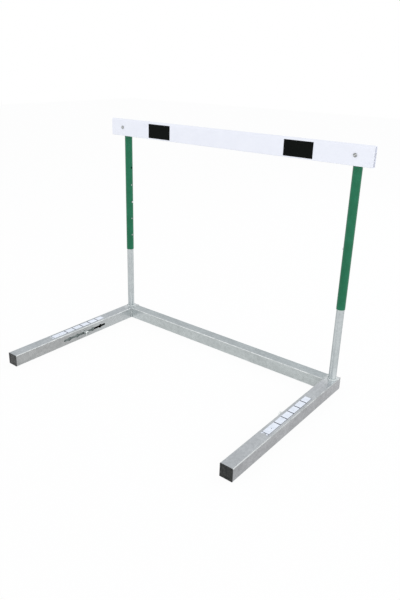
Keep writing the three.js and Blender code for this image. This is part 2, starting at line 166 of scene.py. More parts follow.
def pick(piece, kind, rule):
    """Selects faces by centre and normal, edges by their ends, or points by place, for editing."""
    if piece.mode == "EDIT":
        done()
    bpy.ops.object.select_all(action="DESELECT")
    bpy.context.view_layer.objects.active = piece
    piece.select_set(True)
    bpy.ops.object.mode_set(mode="EDIT")
    bpy.ops.mesh.select_mode(type=kind)
    bpy.ops.mesh.select_all(action="DESELECT")
    bpy.ops.object.mode_set(mode="OBJECT")
    mesh = piece.data
    if kind == "FACE":
        for face in mesh.polygons:
            face.select = rule(face.center, face.normal)
    elif kind == "EDGE":
        for edge in mesh.edges:
            edge.select = rule(*(mesh.vertices[end].co for end in edge.vertices))
    else:
        for point in mesh.vertices:
            point.select = rule(point.co)
    bpy.ops.object.mode_set(mode="EDIT")


def done():
    bpy.ops.object.mode_set(mode="OBJECT")


def apply(piece, kind, **settings):
    bpy.context.view_layer.objects.active = piece
    modifier = piece.modifiers.new(kind, kind)
    for name, value in settings.items():
        setattr(modifier, name, value)
    bpy.ops.object.modifier_apply(modifier=modifier.name)


def cut_out(piece, tool):
    apply(piece, "BOOLEAN", operation="DIFFERENCE", solver="EXACT", object=tool)
    bpy.data.objects.remove(tool)


def smooth(piece, degrees=32):
    bpy.ops.object.select_all(action="DESELECT")
    bpy.context.view_layer.objects.active = piece
    piece.select_set(True)
    bpy.ops.object.shade_smooth_by_angle(angle=math.radians(degrees))
    apply(piece, "WEIGHTED_NORMAL", keep_sharp=True, weight=80)


def copy_of(piece, name):
    bpy.ops.object.select_all(action="DESELECT")
    bpy.context.view_layer.objects.active = piece
    piece.select_set(True)
    bpy.ops.object.duplicate(linked=False)
    copy = bpy.context.object
    copy.name = name
    copy.data.name = name
    return copy


def mirrored(piece, name):
    """A copy for the hurdle's other side."""
    copy = copy_of(piece, name)
    copy.scale = (-1, 1, 1)
    bpy.ops.object.transform_apply(location=False, rotation=False, scale=True)
    bpy.ops.object.mode_set(mode="EDIT")
    bpy.ops.mesh.select_all(action="SELECT")
    bpy.ops.mesh.flip_normals()
    done()
    return copy


def moved(piece, step):
    piece.location = step
    bpy.ops.object.transform_apply(location=True, rotation=False, scale=False)
    return piece


def joined(name, *pieces):
    bpy.ops.object.select_all(action="DESELECT")
    for piece in pieces:
        piece.select_set(True)
    bpy.context.view_layer.objects.active = pieces[0]
    bpy.ops.object.join()
    pieces[0].name = name
    pieces[0].data.name = name
    return pieces[0]


def place_piece(piece, material, body, slot, *nodes):
    piece.data.materials.clear()
    piece.data.materials.append(material)
    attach(piece, body)
    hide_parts(*nodes)


def new_group(name, inputs, outputs):
    group = bpy.data.node_groups.new(name, "ShaderNodeTree")
    for socket, kind, value in inputs:
        made = group.interface.new_socket(socket, in_out="INPUT", socket_type=kind)
        if value is not None:
            made.default_value = value
    for socket, kind in outputs:
        group.interface.new_socket(socket, in_out="OUTPUT", socket_type=kind)
    return group, add_node(group, "NodeGroupInput").outputs


def mix_colours(tree, share, first, second):
    mixer = add_node(tree, "ShaderNodeMix", data_type="RGBA")
    for socket, value in ((0, share), (6, first), (7, second)):
        if isinstance(value, bpy.types.NodeSocket):
            tree.links.new(value, mixer.inputs[socket])
        else:
            mixer.inputs[socket].default_value = value
    return mixer.outputs[2]


def spread(tree, value, low, high, to_low=0.0, to_high=1.0):
    ranged = add_node(
        tree,
        "ShaderNodeMapRange",
        {"Value": value, "From Min": low, "From Max": high, "To Min": to_low, "To Max": to_high},
        clamp=True,
    )
    return ranged.outputs["Result"]


def noise(tree, place, scale, detail, roughness):
    """Cloudy noise from 0 to 1."""
    inputs = {"Vector": place, "Scale": scale, "Detail": detail, "Roughness": roughness}
    return add_node(tree, "ShaderNodeTexNoise", inputs).outputs["Fac"]


# Mill finish: cloudy mottling, fainter broad stains, and fine lines drawn along the third axis
mill_finish, given = new_group(
    "mill finish",
    [
        ("Vector", "NodeSocketVector", None),
        ("Dull", "NodeSocketColor", (0.4, 0.42, 0.43, 1)),
        ("Bright", "NodeSocketColor", (0.55, 0.58, 0.6, 1)),
    ],
    [("Color", "NodeSocketColor"), ("Roughness", "NodeSocketFloat"), ("Height", "NodeSocketFloat")],
)
mottle = noise(mill_finish, given["Vector"], 85, 3, 0.6)
stains = add_node(
    mill_finish,
    "ShaderNodeTexNoise",
    {"Vector": given["Vector"], "Scale": 11, "Detail": 2, "Roughness": 0.5, "Distortion": 0.4},
)
drawn = add_node(mill_finish, "ShaderNodeMapping", {"Vector": given["Vector"], "Scale": (1500, 1500, 9)})
lines = noise(mill_finish, drawn.outputs[0], 1, 2, 0.6)
cloudy = add_node(
    mill_finish,
    "ShaderNodeMath",
    {0: spread(mill_finish, mottle, 0.3, 0.7), 1: 0.62},
    operation="MULTIPLY",
)
stained = add_node(
    mill_finish,
    "ShaderNodeMath",
    {0: spread(mill_finish, stains.outputs["Fac"], 0.35, 0.65), 1: 0.38, 2: cloudy.outputs[0]},
    operation="MULTIPLY_ADD",
)
lined = add_node(
    mill_finish,
    "ShaderNodeMix",
    {0: 0.3, 2: stained.outputs[0], 3: spread(mill_finish, lines, 0.3, 0.7)},
    data_type="FLOAT",
)
add_node(
    mill_finish,
    "NodeGroupOutput",
    {
        "Color": mix_colours(mill_finish, lined.outputs[0], given["Dull"], given["Bright"]),
        "Roughness": spread(mill_finish, stained.outputs[0], 0, 1, 0.38, 0.24),
        "Height": lines,
    },
)


def new_material(name):
    material = bpy.data.materials.new(name)
    material.use_nodes = True
    tree = material.node_tree
    tree.nodes.clear()
    place = add_node(tree, "ShaderNodeTexCoord").outputs["Object"]
    return material, tree, place


def finish_surface(tree, inputs, height, depth, strength=1.0):
    """The shader itself, with its height as fine relief of the given depth in metres."""
    relief = add_node(tree, "ShaderNodeBump", {"Height": height, "Distance": depth, "Strength": strength})
    shader = add_node(tree, "ShaderNodeBsdfPrincipled", {**inputs, "Normal": relief.outputs[0]})
    add_node(tree, "ShaderNodeOutputMaterial", {"Surface": shader.outputs[0]})


# Reaches of the painted light near a corner and of the painted highlight round a weld.
corner_light_reach = 0.03
highlight_heart = 0.022
highlight_reach = 0.05


def mill_aluminium(name, turn, dull, bright, painted_light_span=None, weld=None, grazing=(1, 1, 1, 1)):
    """Drawn along the axis that turn brings upright. Along it, the colour is painted lighter from the first
    to the second place given, most of all near that: painted light. It is also painted lighter round the
    weld at the place given: a painted highlight. grazing is the tint of what it mirrors at a slant."""
    material, tree, place = new_material(name)
    turned = add_node(tree, "ShaderNodeMapping", {"Vector": place, "Rotation": turn}).outputs[0]
    metal = add_node(tree, "ShaderNodeGroup", node_tree=mill_finish)
    metal.inputs["Dull"].default_value = dull
    metal.inputs["Bright"].default_value = bright
    tree.links.new(turned, metal.inputs["Vector"])
    colour = metal.outputs["Color"]
    along = add_node(tree, "ShaderNodeSeparateXYZ", {"Vector": turned}).outputs["Z"]
    # Painted light: lighter colour along the run, lighter still near its end where the tubes meet.
    if painted_light_span:
        painted_light_share = spread(tree, along, painted_light_span[0], painted_light_span[1], 0, 0.5)
        colour = mix_colours(tree, painted_light_share, colour, (0.66, 0.71, 0.73, 1))
        corner_light_from = painted_light_span[1] - math.copysign(corner_light_reach, painted_light_span[1] - painted_light_span[0])
        corner_light_share = spread(tree, along, corner_light_from, painted_light_span[1], 0, 0.3)
        colour = mix_colours(tree, corner_light_share, colour, (0.76, 0.79, 0.78, 1))
    # Painted highlight: lighter colour round the weld.
    if weld:
        away = add_node(tree, "ShaderNodeVectorMath", {0: place, 1: weld}, operation="DISTANCE")
        weld_highlight_share = spread(tree, away.outputs["Value"], highlight_reach, highlight_heart, 0, 0.6)
        colour = mix_colours(tree, weld_highlight_share, colour, (0.72, 0.75, 0.76, 1))
    inputs = {
        "Base Color": colour,
        "Roughness": metal.outputs["Roughness"],
        "Metallic": 0.75,
        "Specular IOR Level": 0.4,
        "Specular Tint": grazing,
    }
    finish_surface(tree, inputs, metal.outputs["Height"], 0.00004, 0.35)
    return material


quarter = math.pi / 2
leg_turn = (quarter, 0, 0)
tube_size = 0.0476
upright_x = 0.5264
upright_y = 0.3232
# Each face gets its own copy of the metal. The leg tops are per-leg tones with a painted highlight round
# the upright's foot. The leg outer sides are a darker copy, painted shade. The leg inner sides are a darker
# copy painted lighter towards the rear corner. The cross tube's sides are a lighter copy, painted lighter
# towards one end: painted light.
leg_metals = {
    "left": mill_aluminium(
        "left leg aluminium", leg_turn, (0.285, 0.312, 0.33, 1), (0.5, 0.535, 0.56, 1),
        weld=(-upright_x, upright_y, tube_size),
    ),
    "right": mill_aluminium(
        "right leg aluminium", leg_turn, (0.335, 0.355, 0.372, 1), (0.555, 0.58, 0.605, 1),
        weld=(upright_x, upright_y, tube_size),
    ),
}
leg_outer_metal = mill_aluminium(
    "leg outer aluminium", leg_turn, (0.26, 0.267, 0.277, 1), (0.438, 0.445, 0.461, 1)
)
leg_inner_metal = mill_aluminium(
    "leg inner aluminium", leg_turn, (0.285, 0.295, 0.295, 1), (0.475, 0.485, 0.485, 1), (-0.1, 0.3)
)
cross_turn = (0, quarter, 0)
cross_metal = mill_aluminium(
    "cross tube aluminium", cross_turn, (0.28, 0.312, 0.325, 1), (0.49, 0.537, 0.55, 1)
)
cross_side_metal = mill_aluminium(
    "cross tube side aluminium", cross_turn, (0.365, 0.395, 0.395, 1), (0.565, 0.605, 0.605, 1), (0.36, 0.5)
)
# The bore is near-black: painted shade.
bore_shade_metal = mill_aluminium("bore aluminium painted shade", leg_turn, (0.03, 0.032, 0.033, 1), (0.08, 0.085, 0.086, 1))


def edge_highlight_metal(name, dull, bright, brighter_span=None):
    """Metal painted bright as a painted highlight on rounded edges, brighter still from the first to the
    second place given along y.
    """
    material, tree, place = new_material(name)
    edge_streaks = noise(tree, place, 36, 3, 0.6)
    colour = mix_colours(tree, spread(tree, edge_streaks, 0.35, 0.65), dull, bright)
    if brighter_span:
        along = add_node(tree, "ShaderNodeSeparateXYZ", {"Vector": place}).outputs["Y"]
        brighter_share = spread(tree, along, brighter_span[0], brighter_span[1])
        colour = mix_colours(tree, brighter_share, colour, (0.62, 0.64, 0.645, 1))
    inputs = {
        "Base Color": colour,
        "Metallic": 0.75,
        "Roughness": spread(tree, edge_streaks, 0.3, 0.7, 0.62, 0.5),
    }
    finish_surface(tree, inputs, edge_streaks, 0.00005, 0.2)
    return material


# Rounded tube edges: painted highlight, a lighter colour in place of the lamps' glint. The softer one is
# painted brighter towards the leg's front.
painted_edge_highlight = edge_highlight_metal("painted edge highlight", (0.56, 0.585, 0.59, 1), (0.8, 0.82, 0.825, 1))
softer_edge_highlight = edge_highlight_metal("softer painted edge highlight", (0.4, 0.42, 0.425, 1), (0.58, 0.595, 0.6, 1), (-0.05, -0.29))

seat_gap = 0.0001
tube_wall = 0.002
tube_edge = 0.0025
tube_middle = tube_size / 2
leg_x = 0.5242
leg_face_x = leg_x - tube_middle
leg_half_length = 0.3485
cross_back_y = 0.346
cross_y = cross_back_y - tube_middle
cross_length = 1.0006


def square_tube(name, middle, length, axis):
    size = [tube_size] * 3
    size[axis] = length
    tube = block(name, middle, size)
    pick(tube, "EDGE", lambda a, b: abs((b - a)[axis]) > length / 2)
    bpy.ops.mesh.bevel(offset=tube_edge, segments=5, affect="EDGES")
    pick(tube, "FACE", lambda centre, normal: abs(normal[axis]) > 0.9)
    bpy.ops.mesh.delete(type="FACE")
    done()
    apply(tube, "SOLIDIFY", thickness=tube_wall, offset=-1, use_even_offset=True)
    return tube


def face_metals(tube, axis, middle, edge_metal, side_metal, inner_metal):
    """The tube's rounded corners, upright sides and inner side with their own lighter or darker copies of
    the metal, painted light and painted shade, and near-black metal in its bore as painted shade. middle is
    its middle line's place across its run."""
    slant = 0.01
    for metal in (edge_metal, side_metal, inner_metal, bore_shade_metal):
        tube.data.materials.append(metal)
    for face in tube.data.polygons:
        parts = [abs(part) for part in face.normal]
        across = abs(abs(face.center[1 - axis]) - middle)
        if parts[axis] > slant:
            continue
        if max(across, abs(face.center.z - tube_middle)) < tube_middle - 0.75 * tube_wall:
            face.material_index = 4
        elif max(parts) < 0.995:
            face.material_index = 1
        elif parts[2] < slant:
            face.material_index = 3 if face.normal.x * face.center.x < -0.1 else 2


def rod(radius, length, middle, axis, sides=48):
    turn = ((0, quarter, 0), (quarter, 0, 0), (0, 0, 0))[axis]
    bpy.ops.object.select_all(action="DESELECT")
    bpy.ops.mesh.primitive_cylinder_add(
        vertices=sides, radius=radius, depth=length, location=middle, rotation=turn
    )
    return settle("rod")


cross_tube = square_tube("cross_tube", (0, cross_y, tube_middle), cross_length, 0)
smooth(cross_tube)
place_piece(cross_tube, cross_metal, "base", "bright_tube", "base_crossbar")
face_metals(cross_tube, 0, cross_y, painted_edge_highlight, cross_side_metal, cross_side_metal)

# Slot in the leg's inner wall: a straight slot with round ends and five round notches. The right
# leg's slot sits a little further back.
notch_y = 0.0086
notch_pitch = 0.04445
notch_radius = 0.00875
slot_height = 0.0095
slot_half_length = 0.1139
slot_free_end = 0.1
tool_length = 0.008

leg_left = square_tube("leg_tube_left", (-leg_x, 0, tube_middle), 2 * leg_half_length, 1)
wall_x = -leg_face_x - tube_wall / 2
slot_size = (tool_length, 2 * slot_half_length, slot_height)
cut_out(leg_left, block("slot tool", (wall_x, notch_y, tube_middle), slot_size))
for end in (-slot_half_length, slot_half_length):
    cut_out(leg_left, rod(slot_height / 2, tool_length, (wall_x, notch_y + end, tube_middle), 0, 32))
for notch in range(-2, 3):
    notch_middle = (wall_x, notch_y + notch * notch_pitch, tube_middle)
    cut_out(leg_left, rod(notch_radius, tool_length, notch_middle, 0))
leg_right = mirrored(leg_left, "leg_tube_right")
right_slot_shift = 0.0115
pick(leg_right, "VERT", lambda point: abs(point.y) < leg_half_length - slot_free_end)
bpy.ops.transform.translate(value=(0, right_slot_shift, 0))
done()
for leg, side in ((leg_left, "left"), (leg_right, "right")):
    smooth(leg)
    place_piece(leg, leg_metals[side], "base", "bright_tube", "leg_" + side)
    edge_metal = softer_edge_highlight if side == "right" else painted_edge_highlight
    face_metals(leg, 1, leg_x, edge_metal, leg_outer_metal, leg_inner_metal)


# Corner welds. A bright bead runs up each inside corner of leg and cross tube and back across
# their tops. It was laid by hand, so it has fine ripples across it.
def weld_metal(name, sooty, bright):
    material, tree, place = new_material(name)
    bead = noise(tree, place, 420, 2, 0.5)
    soot = noise(tree, place, 150, 2, 0.6)
    inputs = {
        "Base Color": mix_colours(tree, spread(tree, soot, 0.35, 0.6), sooty, bright),
        "Metallic": 0.45,
        "Roughness": spread(tree, bead, 0.3, 0.7, 0.42, 0.58),
    }
    finish_surface(tree, inputs, bead, 0.0001, 0.3)
    return material


corner_weld = weld_metal("corner weld", (0.37, 0.4, 0.405, 1), (0.54, 0.575, 0.58, 1))

ripple = 0.0011
ripple_swell = 0.0003


def weld_bead(name, radius, start, end, flatness):
    """A rippled half-round bead from start to end, flattened in height where it lies on a top."""
    start = Vector(start)
    end = Vector(end)
    run = end - start
    axis = 2 if abs(run.z) > abs(run.y) else 1
    bead = rod(radius, run.length, (start + end) / 2, axis, 20)
    pick(bead, "EDGE", lambda a, b: abs((b - a)[axis]) > run.length / 2)
    rings = 2 * round(run.length / ripple / 2)
    bpy.ops.mesh.subdivide(number_cuts=rings - 1)
    low = min(start[axis], end[axis])
    pitch = run.length / rings
    pick(bead, "VERT", lambda point: round((point[axis] - low) / pitch) % 2 == 1)
    bpy.ops.transform.shrink_fatten(value=ripple_swell)
    done()
    if axis == 1:
        bead.scale.z = flatness
        bead.location.z = start.z * (1 - flatness)
        bpy.ops.object.select_all(action="DESELECT")
        bead.select_set(True)
        bpy.ops.object.transform_apply(location=True, rotation=False, scale=True)
    bead.name = name
    return bead


cross_front_y = cross_back_y - tube_size
fillet_radius = 0.0042
fillet_offset = 0.0006
seam_radius = 0.0034
fillet_foot = 0.0026
fillet_rise = 0.0004
seam_inset = 0.001
seam_start = 0.0015
seam_end = 0.0006
seam_flatness = 0.3
upright_bead = weld_bead(
    "upright bead",
    fillet_radius,
    (-leg_face_x + fillet_offset, cross_front_y - fillet_offset, fillet_foot),
    (-leg_face_x + fillet_offset, cross_front_y - fillet_offset, tube_size + fillet_rise),
    1,
)
seam_bead = weld_bead(
    "seam bead",
    seam_radius,
    (-leg_face_x - seam_inset, cross_front_y - seam_start, tube_size),
    (-leg_face_x - seam_inset, cross_back_y - seam_end, tube_size),
    seam_flatness,
)
corner_left = joined("corner_bead_left", upright_bead, seam_bead)
corner_right = mirrored(corner_left, "corner_bead_right")
for corner, side in ((corner_left, "left"), (corner_right, "right")):
    smooth(corner, 60)
    place_piece(corner, corner_weld, "base", "weld_metal", "corner_weld_" + side)


# End plugs. Black moulded plastic pushed into both ends of each leg: a flange as wide as the tube
# with a shallow grained panel in its face, and a hollow skirt that grips inside.
moulded_grain, given = new_group(
    "moulded grain",
    [("Vector", "NodeSocketVector", None), ("Scale", "NodeSocketFloat", 900)],
    [("Grain", "NodeSocketFloat"), ("Dust", "NodeSocketFloat")],
)
cells = add_node(
    moulded_grain, "ShaderNodeTexVoronoi", {"Vector": given["Vector"], "Scale": given["Scale"]}
)
dust = noise(moulded_grain, given["Vector"], 190, 4, 0.7)
add_node(
    moulded_grain,
    "NodeGroupOutput",
    {
        "Grain": cells.outputs["Distance"],
        "Dust": spread(moulded_grain, dust, 0.42, 0.72),
    },
)


def moulded_plastic(name, colour, dusty, grain_scale, roughness, specular):
    material, tree, place = new_material(name)
    grain = add_node(tree, "ShaderNodeGroup", node_tree=moulded_grain)
    grain.inputs["Scale"].default_value = grain_scale
    tree.links.new(place, grain.inputs["Vector"])
    inputs = {
        "Base Color": mix_colours(tree, grain.outputs["Dust"], colour, dusty),
        "Roughness": spread(tree, grain.outputs["Dust"], 0, 1, roughness, roughness + 0.12),
        "Specular IOR Level": specular,
    }
    finish_surface(tree, inputs, grain.outputs["Grain"], 0.0001, 0.5)
    return material


black_plastic = moulded_plastic(
    "black plastic", (0.014, 0.015, 0.015, 1), (0.06, 0.06, 0.058, 1), 900, 0.5, 0.2
)
# A lighter copy of the black plastic, used on the left front plug.
lighter_black_plastic = moulded_plastic(
    "lighter black plastic", (0.02, 0.021, 0.021, 1), (0.15, 0.15, 0.148, 1), 900, 0.5, 0.25
)

flange_thickness = 0.0014
flange_front_y = -0.35
plug_rim = 0.0055
plug_recess = 0.0007
skirt_inset = 0.0026
skirt_depth = 0.022
skirt_wall = 0.0025
recess_slope = 0.0009
skirt_slack = 0.0007
flange_round = 0.0004
plug_clearance = 0.0005
plug_size = tube_size - plug_clearance
plug_middle = plug_size / 2

flange_middle = (-leg_x, flange_front_y + flange_thickness / 2, tube_middle)
plug = block("front_cap_left", flange_middle, (plug_size, flange_thickness, plug_size))


def on_plug_side(point, reach):
    """Whether a point lies on the four sides of a square of that reach about the leg's middle line."""
    return max(abs(point.x + leg_x), abs(point.z - tube_middle)) > reach - hair


pick(plug, "FACE", lambda centre, normal: normal.y < -0.9)
bpy.ops.mesh.inset(thickness=plug_rim)
bpy.ops.mesh.inset(thickness=recess_slope, depth=-plug_recess)
pick(plug, "FACE", lambda centre, normal: normal.y > 0.9)
bpy.ops.mesh.inset(thickness=skirt_inset)
bpy.ops.mesh.extrude_region_move(TRANSFORM_OT_translate={"value": (0, skirt_depth, 0)})
bpy.ops.mesh.inset(thickness=skirt_wall)
bpy.ops.mesh.extrude_region_move(TRANSFORM_OT_translate={"value": (0, -skirt_depth, 0)})
pick(
    plug,
    "EDGE",
    lambda a, b: abs(b.y - a.y) > flange_thickness / 2
    and on_plug_side(a, plug_middle - skirt_inset)
    and on_plug_side(b, plug_middle - skirt_inset),
)
bpy.ops.mesh.bevel(offset=tube_edge - skirt_slack, segments=4, affect="EDGES")
pick(
    plug,
    "EDGE",
    lambda a, b: max(a.y, b.y) < flange_front_y + hair
    and on_plug_side(a, plug_middle - tube_edge)
    and on_plug_side(b, plug_middle - tube_edge),
)
bpy.ops.mesh.bevel(offset=flange_round, segments=3, affect="EDGES")
done()


def turned_copy(piece, name):
    """A copy turned half round the hurdle's upright middle line."""
    copy = copy_of(piece, name)
    copy.rotation_euler = (0, 0, math.pi)
    bpy.ops.object.transform_apply(location=False, rotation=True, scale=False)
    return copy


plugs = {
    "front_plug_left": plug,
    "front_plug_right": mirrored(plug, "front_cap_right"),
    "rear_plug_right": turned_copy(plug, "rear_cap_right"),
}
plugs["rear_plug_left"] = mirrored(plugs["rear_plug_right"], "rear_cap_left")
for node, piece in plugs.items():
    smooth(piece)
    plastic = lighter_black_plastic if node == "front_plug_left" else black_plastic
    place_piece(piece, plastic, "base", "black_plastic", node)


# Counterweights. A solid steel bar slides inside each leg, dull grey with mill scale, and shows
# through the slot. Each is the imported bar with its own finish.
def dress(node, material):
    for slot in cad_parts[node].material_slots:
        slot.material = material


scaled_steel, tree, place = new_material("scaled steel")
scale_patches = noise(tree, place, 60, 5, 0.65)
steel_colour = mix_colours(
    tree, spread(tree, scale_patches, 0.35, 0.65), (0.095, 0.117, 0.113, 1), (0.215, 0.25, 0.245, 1)
)
finish_surface(
    tree,
    {
        "Base Color": steel_colour,
        "Metallic": 0.8,
        "Roughness": spread(tree, scale_patches, 0.3, 0.7, 0.6, 0.4),
    },
    scale_patches,
    0.0003,
    0.5,
)
for side in ("left", "right"):
    dress("counterweight_" + side, scaled_steel)


# Pull knobs. Turned bright steel, domed, with the lathe's fine rings on the face. The neck goes
# through the notch into the counterweight, where a wider foot keeps it in.
turned_rings, given = new_group(
    "turned rings",
    [("Vector", "NodeSocketVector", None), ("Scale", "NodeSocketFloat", 1400)],
    [("Rings", "NodeSocketFloat"), ("Wear", "NodeSocketFloat")],
)
rings = add_node(
    turned_rings,
    "ShaderNodeTexWave",
    {"Vector": given["Vector"], "Scale": given["Scale"], "Distortion": 0.6, "Detail": 1},
    wave_type="RINGS",
    rings_direction="X",
)
wear = noise(turned_rings, given["Vector"], 260, 3, 0.6)
add_node(
    turned_rings,
    "NodeGroupOutput",
    {"Rings": rings.outputs["Fac"], "Wear": spread(turned_rings, wear, 0.35, 0.65)},
)


def turned_steel(name, centre, turn, dull, bright, rough):
    """Bright steel with fine rings about an axis through centre."""
    material, tree, place = new_material(name)
    about = {"Vector": place, "Location": centre, "Rotation": turn}
    centred = add_node(tree, "ShaderNodeMapping", about, vector_type="TEXTURE")
    lathe = add_node(tree, "ShaderNodeGroup", node_tree=turned_rings)
    tree.links.new(centred.outputs[0], lathe.inputs["Vector"])
    inputs = {
        "Base Color": mix_colours(tree, lathe.outputs["Wear"], dull, bright),
        "Metallic": 1,
        "Roughness": spread(tree, lathe.outputs["Wear"], 0, 1, rough + 0.1, rough),
    }
    finish_surface(tree, inputs, lathe.outputs["Rings"], 0.00005, 0.3)
    return material


knob_gap = 0.0003
knob_radius = 0.01
knob_length = 0.018
knob_dome = 0.0035
dome_steps = 8
knob_edge = 0.0006
neck_radius = 0.0025
neck_length = 0.0228
foot_radius = 0.005
foot_length = 0.003

knob = rod(knob_radius, knob_length, (-leg_face_x + knob_gap + knob_length / 2, notch_y, tube_middle), 0)
knob_back_x = -leg_face_x + knob_gap
pick(knob, "EDGE", lambda a, b: min(a.x, b.x) > knob_back_x + knob_length - hair)
bpy.ops.mesh.bevel(offset=knob_dome, segments=dome_steps, affect="EDGES")
pick(knob, "EDGE", lambda a, b: max(a.x, b.x) < knob_back_x + hair)
bpy.ops.mesh.bevel(offset=knob_edge, segments=3, affect="EDGES")
pick(knob, "FACE", lambda centre, normal: normal.x < -0.99)
bpy.ops.mesh.inset(thickness=knob_radius - knob_edge - neck_radius)
bpy.ops.mesh.extrude_region_move(TRANSFORM_OT_translate={"value": (-neck_length, 0, 0)})
bpy.ops.mesh.extrude_region_move(TRANSFORM_OT_translate={"value": (0, 0, 0)})
foot_share = foot_radius / neck_radius
bpy.ops.transform.resize(value=(1, foot_share, foot_share))
bpy.ops.mesh.extrude_region_move(TRANSFORM_OT_translate={"value": (-foot_length, 0, 0)})
done()
knob.name = "pull_knob_left"
knob_right = moved(mirrored(knob, "pull_knob_right"), (0, right_slot_shift, 0))
for side, piece, sign in (("left", knob, -1), ("right", knob_right, 1)):
    centre = (sign * leg_face_x, notch_y + (right_slot_shift if sign > 0 else 0), tube_middle)
    knob_steel = turned_steel(
        "knob steel " + side, centre, (0, 0, 0), (0.55, 0.58, 0.57, 1), (0.86, 0.89, 0.9, 1), 0.16
    )
    # The knob's face gets a darker copy of its steel: painted shade.
    knob_face_shaded_steel = turned_steel(
        "knob face shaded steel " + side, centre, (0, 0, 0), (0.3, 0.32, 0.32, 1), (0.44, 0.47, 0.47, 1), 0.3
    )
    smooth(piece, 40)
    place_piece(piece, knob_steel, "knob_" + side, "bright_knob", "knob_" + side)
    piece.data.materials.append(knob_face_shaded_steel)
    for face in piece.data.polygons:
        if abs(face.center.x) < leg_face_x - knob_length + knob_dome / dome_steps:
            face.material_index = 1


# Collars and springs of the knobs. A zinc-plated collar in the counterweight guides the knob's
# neck, and a spring of bright steel wire, wound in six turns, pulls the knob back into its notch.
def plated_zinc(name, dull, bright):
    material, tree, place = new_material(name)
    spangle = add_node(tree, "ShaderNodeTexVoronoi", {"Vector": place, "Scale": 500})
    haze = noise(tree, place, 240, 3, 0.6)
    inputs = {
        "Base Color": mix_colours(tree, spread(tree, haze, 0.35, 0.65), dull, bright),
        "Metallic": 1,
        "Roughness": spread(tree, spangle.outputs["Distance"], 0, 0.8, 0.26, 0.4),
    }
    finish_surface(tree, inputs, haze, 0.00005, 0.4)
    return material


zinc_plate = plated_zinc("zinc plate", (0.48, 0.5, 0.5, 1), (0.7, 0.72, 0.72, 1))
spring_wire, tree, place = new_material("spring wire")
drawn_wire = noise(tree, place, 600, 2, 0.5)
wire_colour = mix_colours(
    tree, spread(tree, drawn_wire, 0.35, 0.65), (0.5, 0.52, 0.53, 1), (0.76, 0.78, 0.8, 1)
)
finish_surface(
    tree,
    {
        "Base Color": wire_colour,
        "Metallic": 1,
        "Roughness": spread(tree, drawn_wire, 0.3, 0.7, 0.2, 0.34),
    },
    drawn_wire,
    0.00003,
    0.3,
)
for side in ("left", "right"):
    dress("knob_collar_" + side, zinc_plate)

coil_turns = 6
coil_radius = 0.00375
coil_length = 0.016
wire_radius = 0.00055
coil_foot_x = leg_face_x - knob_gap + neck_length - seat_gap
bpy.ops.object.select_all(action="DESELECT")
bpy.ops.mesh.primitive_circle_add(
    vertices=12, radius=wire_radius, location=(0, 0, coil_radius), rotation=(quarter, 0, 0)
)
coil = settle("coil_spring_left")
apply(
    coil,
    "SCREW",
    axis="X",
    angle=math.tau,
    steps=24,
    render_steps=24,
    iterations=coil_turns,
    screw_offset=(coil_length - 2 * wire_radius) / coil_turns,
)
bpy.ops.object.mode_set(mode="EDIT")
bpy.ops.mesh.select_all(action="SELECT")
bpy.ops.mesh.fill_holes(sides=12)
bpy.ops.mesh.normals_make_consistent(inside=False)
done()
moved(coil, (wire_radius - coil_foot_x, notch_y, tube_middle))
coil_right = moved(mirrored(coil, "coil_spring_right"), (0, right_slot_shift, 0))
for side, piece, sign in (("left", coil, -1), ("right", coil_right, 1)):
    smooth(piece, 60)
    place_piece(piece, spring_wire, "knob_" + side, "spring_steel", "knob_spring_" + side)
    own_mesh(piece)


# Scale labels. White printed film stuck by hand along the top of each leg, the left one further
# forward. A dark line parts its blocks, and a swallow tail is cut in its front end.
label_film, tree, place = new_material("label film")
film_haze = noise(tree, place, 70, 3, 0.6)
film_grain = noise(tree, place, 1600, 1, 0.5)
film_colour = mix_colours(
    tree, spread(tree, film_haze, 0.35, 0.65), (0.74, 0.79, 0.88, 1), (0.82, 0.86, 0.95, 1)
)
finish_surface(
    tree,
    {
        "Base Color": film_colour,
        "Roughness": spread(tree, film_haze, 0.3, 0.7, 0.32, 0.44),
        "Specular IOR Level": 0.4,
    },
    film_grain,
    0.00001,
    0.3,
)
label_ink, tree, place = new_material("label ink")
ink_spots = noise(tree, place, 500, 2, 0.6)
ink_colour = mix_colours(
    tree, spread(tree, ink_spots, 0.35, 0.7), (0.012, 0.014, 0.022, 1), (0.035, 0.038, 0.052, 1)
)
finish_surface(
    tree,
    {
        "Base Color": ink_colour,
        "Roughness": spread(tree, ink_spots, 0.3, 0.7, 0.5, 0.65),
        "Specular IOR Level": 0.08,
    },
    ink_spots,
    0.00001,
    0.3,
)

label_width = 0.0254
label_thickness = 0.00025
label_rear_y = 0.1325
label_front_y = -0.1585
label_tail = 0.009
label_line = 0.004
front_line = 0.0026
label_border = 0.0009
first_line = 0.037
line_pitch = 0.0431
label_outset = 0.0015
label_x = leg_x + label_outset
label_lines = [(label_rear_y - first_line - line * line_pitch, label_line) for line in range(5)]
label_lines.append((label_front_y + label_tail + front_line / 2, front_line))
mark_y = label_rear_y - 0.2455
mark_length = 0.0024
mark_width = 0.003

label = block(
    "scale_strip_left",
    (-label_x, (label_rear_y + label_front_y) / 2, tube_size + seat_gap + label_thickness / 2),
    (label_width, label_rear_y - label_front_y, label_thickness),
)


def bisect(piece, place, normal):
    pick(piece, "FACE", lambda centre, facing: True)
    bpy.ops.mesh.bisect(plane_co=place, plane_no=normal)


